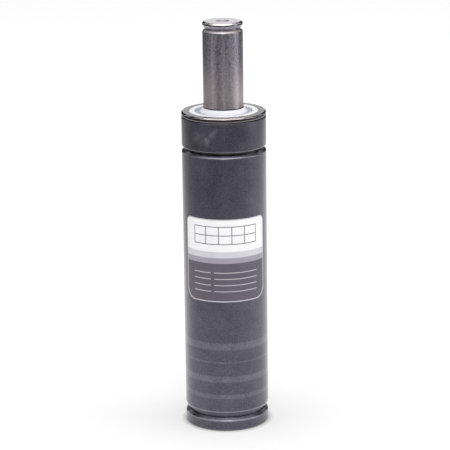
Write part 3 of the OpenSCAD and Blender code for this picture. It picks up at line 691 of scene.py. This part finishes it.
def close_up(piece):
    """Points the faces outwards and keeps only the unrounded corners sharp."""
    work = bmesh.new()
    work.from_mesh(piece.data)
    bmesh.ops.recalc_face_normals(work, faces=work.faces)
    work.to_mesh(piece.data)
    work.free()
    piece.data.shade_smooth()
    piece.data.set_sharp_from_angle(angle=math.radians(40))


def carry(piece, node, body):
    """Finishes a piece that stands for one of the solids."""
    close_up(piece)
    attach(piece, body)
    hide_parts(node)


carry(cylinder_body(), "cylinder_tube", "cylinder")
carry(turned("cover", cover_corners, True, cover_finish), "top_cover", "cylinder")
carry(turned("wiper", wiper_corners, True, wiper_finish), "wiper_ring", "cylinder")
carry(turned("rod", rod_corners, False, rod_finish), "piston_rod", "rod")

# The valve's coil spring, wound to the size of the solid it stands for; the real spring shortens towards its
# cap as the valve opens
coil_low, coil_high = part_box("valve_spring")
coil_long = coil_high[2] - coil_low[2]
coil_sizes = {
    "Turns": COIL_TURNS, "Coil radius": coil_high[0] - COIL_WIRE_R * MM,
    "Rise": coil_long - 2 * COIL_WIRE_R * MM, "Start height": coil_low[2] + COIL_WIRE_R * MM,
    "Wire radius": COIL_WIRE_R * MM, "Finish": inner_finish["spring_steel"]}
coil = bake_tree("valve_coil", bpy.data.meshes.new("valve_coil"), coil_tree(), coil_sizes)
carry(coil, "valve_spring", "cylinder")
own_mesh(coil)

for part in frame["record"]["subparts"]:
    finish = inner_finish.get(part["material_slot"])
    if finish:
        solid = nodes[part["node"]]
        solid.data.materials.clear()
        solid.data.materials.append(finish)


def studio_piece(name, points, faces, finish):
    """A plain mesh of the studio, in metres, which isn't part of the object."""
    mesh = bpy.data.meshes.new(name)
    mesh.from_pydata(points, [], faces)
    mesh.materials.append(finish)
    piece = bpy.data.objects.new(name, mesh)
    scene.collection.objects.link(piece)
    return piece


def floor_paper():
    """Pale paper: white to the camera, keeps the part's shadow, carries a painted shadow close round the
    foot, and is dim in reflections far from it.
    """
    finish = bpy.data.materials.new("pale_floor")
    tree = clear_tree(finish)
    rays = add(tree, "ShaderNodeLightPath").outputs
    place = add(tree, "ShaderNodeTexCoord").outputs["Object"]
    away = add(tree, "ShaderNodeVectorMath", {0: place}, operation="LENGTH").outputs["Value"]
    # Reflections show it bright round a point behind the part and dim further off
    lit = add(tree, "ShaderNodeVectorMath", {0: place, 1: (0.1, 0.15, 0.0)}, operation="DISTANCE")
    dim = add(tree, "ShaderNodeMapRange", {
        "Value": lit.outputs["Value"], "From Min": 0.25, "From Max": 0.84, "To Min": 1.0, "To Max": 0.08})
    dim = add(tree, "ShaderNodeMix", {"Factor": rays["Is Glossy Ray"], 2: 1.0, 3: dim})
    paper = add(tree, "ShaderNodeBsdfDiffuse", {"Color": (0.5, 0.5, 0.5, 1.0)})
    # A glow lifts the paper to white; the glow is lower near the part and hardly there under its foot, which
    # paints a shadow round the foot
    reach = 0.5
    share = add(tree, "ShaderNodeMath", {0: away, 1: reach}, operation="DIVIDE")
    lift = add(tree, "ShaderNodeValToRGB", {0: share})
    stops = lift.color_ramp.elements
    stops[0].position = 0.0188 / reach
    stops[0].color = (0.02, 0.02, 0.02, 1.0)
    stops[1].position = 1.0
    stops[1].color = (0.66, 0.66, 0.66, 1.0)
    for far, level in ((0.0205, 0.45), (0.05, 0.5), (0.15, 0.58)):
        stops.new(far / reach).color = (level, level, level, 1.0)
    glow = add(tree, "ShaderNodeEmission", {"Color": lift, "Strength": 1.0})
    sheet = add(tree, "ShaderNodeAddShader", {0: paper, 1: glow})
    black = add(tree, "ShaderNodeBsdfDiffuse", {"Color": (0.0, 0.0, 0.0, 1.0)})
    shade = add(tree, "ShaderNodeMixShader", {0: dim, 1: black, 2: sheet})
    add(tree, "ShaderNodeOutputMaterial", {"Surface": shade})
    return finish


FLOOR_HALF = 4.0
floor_points = [(x * FLOOR_HALF, y * FLOOR_HALF, 0.0) for x, y in ((-1, -1), (1, -1), (1, 1), (-1, 1))]
floor = studio_piece("floor", floor_points, [(0, 1, 2, 3)], floor_paper())

# World: white where it is seen, also in a reflection or through something, and a plain soft level elsewhere
WORLD_LEVEL = 0.45
world = bpy.data.worlds.new("studio")
scene.world = world
sky_tree = clear_tree(world)
rays = add(sky_tree, "ShaderNodeLightPath").outputs
seen = add(sky_tree, "ShaderNodeMath", {0: rays["Is Camera Ray"], 1: rays["Is Glossy Ray"]},
           operation="MAXIMUM")
seen = add(sky_tree, "ShaderNodeMath", {0: seen, 1: rays["Is Transmission Ray"]}, operation="MAXIMUM")
level = add(sky_tree, "ShaderNodeMix", {"Factor": seen, 2: WORLD_LEVEL, 3: 1.0})
sky = add(sky_tree, "ShaderNodeBackground", {"Color": (1.0, 1.0, 1.0, 1.0), "Strength": level})
add(sky_tree, "ShaderNodeOutputWorld", {"Surface": sky})


def softbox(name, place, aim, wide, high, radiance):
    """An oval lamp of the given size and brightness, hidden from the camera."""
    data = bpy.data.lights.new(name, "AREA")
    data.shape = "ELLIPSE"
    data.size = wide
    data.size_y = high
    data.energy = radiance * math.pi * (math.pi / 4 * wide * high)
    lamp = bpy.data.objects.new(name, data)
    lamp.location = place
    lamp.rotation_mode = "QUATERNION"
    lamp.rotation_quaternion = (Vector(aim) - Vector(place)).to_track_quat("-Z", "Y")
    lamp.visible_camera = False
    scene.collection.objects.link(lamp)


softbox("overhead", (0.0, 0.0, 1.25), (0.0, 0.0, 0.0), 1.3, 0.9, 2.6)
softbox("right_side", (1.19, -0.17, 0.5), (0.0, 0.0, 0.2), 0.9, 1.0, 1.45)
softbox("left_strip", (-1.06, -0.56, 0.5), (0.0, 0.0, 0.2), 0.18, 1.0, 2.3)
softbox("above_camera", (0.1, -1.7, 1.6), (0.0, 0.0, 0.1), 1.1, 1.1, 3.8)

# Curtain: dark panels that stand round the studio with gaps between them, which only reflections show
CURTAIN_R = 3.0
CURTAIN_HIGH = 3.2
PANELS = 8
PANEL_DEG = 33.0
PANEL_STEPS = 6
curtain_points = []
curtain_faces = []
for panel in range(PANELS):
    middle = 360.0 * (panel + 0.5) / PANELS
    for step in range(PANEL_STEPS + 1):
        turn = math.radians(middle + PANEL_DEG * (step / PANEL_STEPS - 0.5))
        if step:
            last = len(curtain_points)
            curtain_faces.append((last - 2, last, last + 1, last - 1))
        for z in (0.0, CURTAIN_HIGH):
            curtain_points.append((CURTAIN_R * math.cos(turn), CURTAIN_R * math.sin(turn), z))
curtain_finish = bpy.data.materials.new("dark_cloth")
cloth_tree = clear_tree(curtain_finish)
cloth = add(cloth_tree, "ShaderNodeBsdfDiffuse", {"Color": (0.02, 0.02, 0.02, 1.0)})
add(cloth_tree, "ShaderNodeOutputMaterial", {"Surface": cloth})
curtain = studio_piece("curtain", curtain_points, curtain_faces, curtain_finish)
curtain.visible_camera = False
curtain.visible_diffuse = False
curtain.visible_shadow = False
curtain.visible_transmission = False
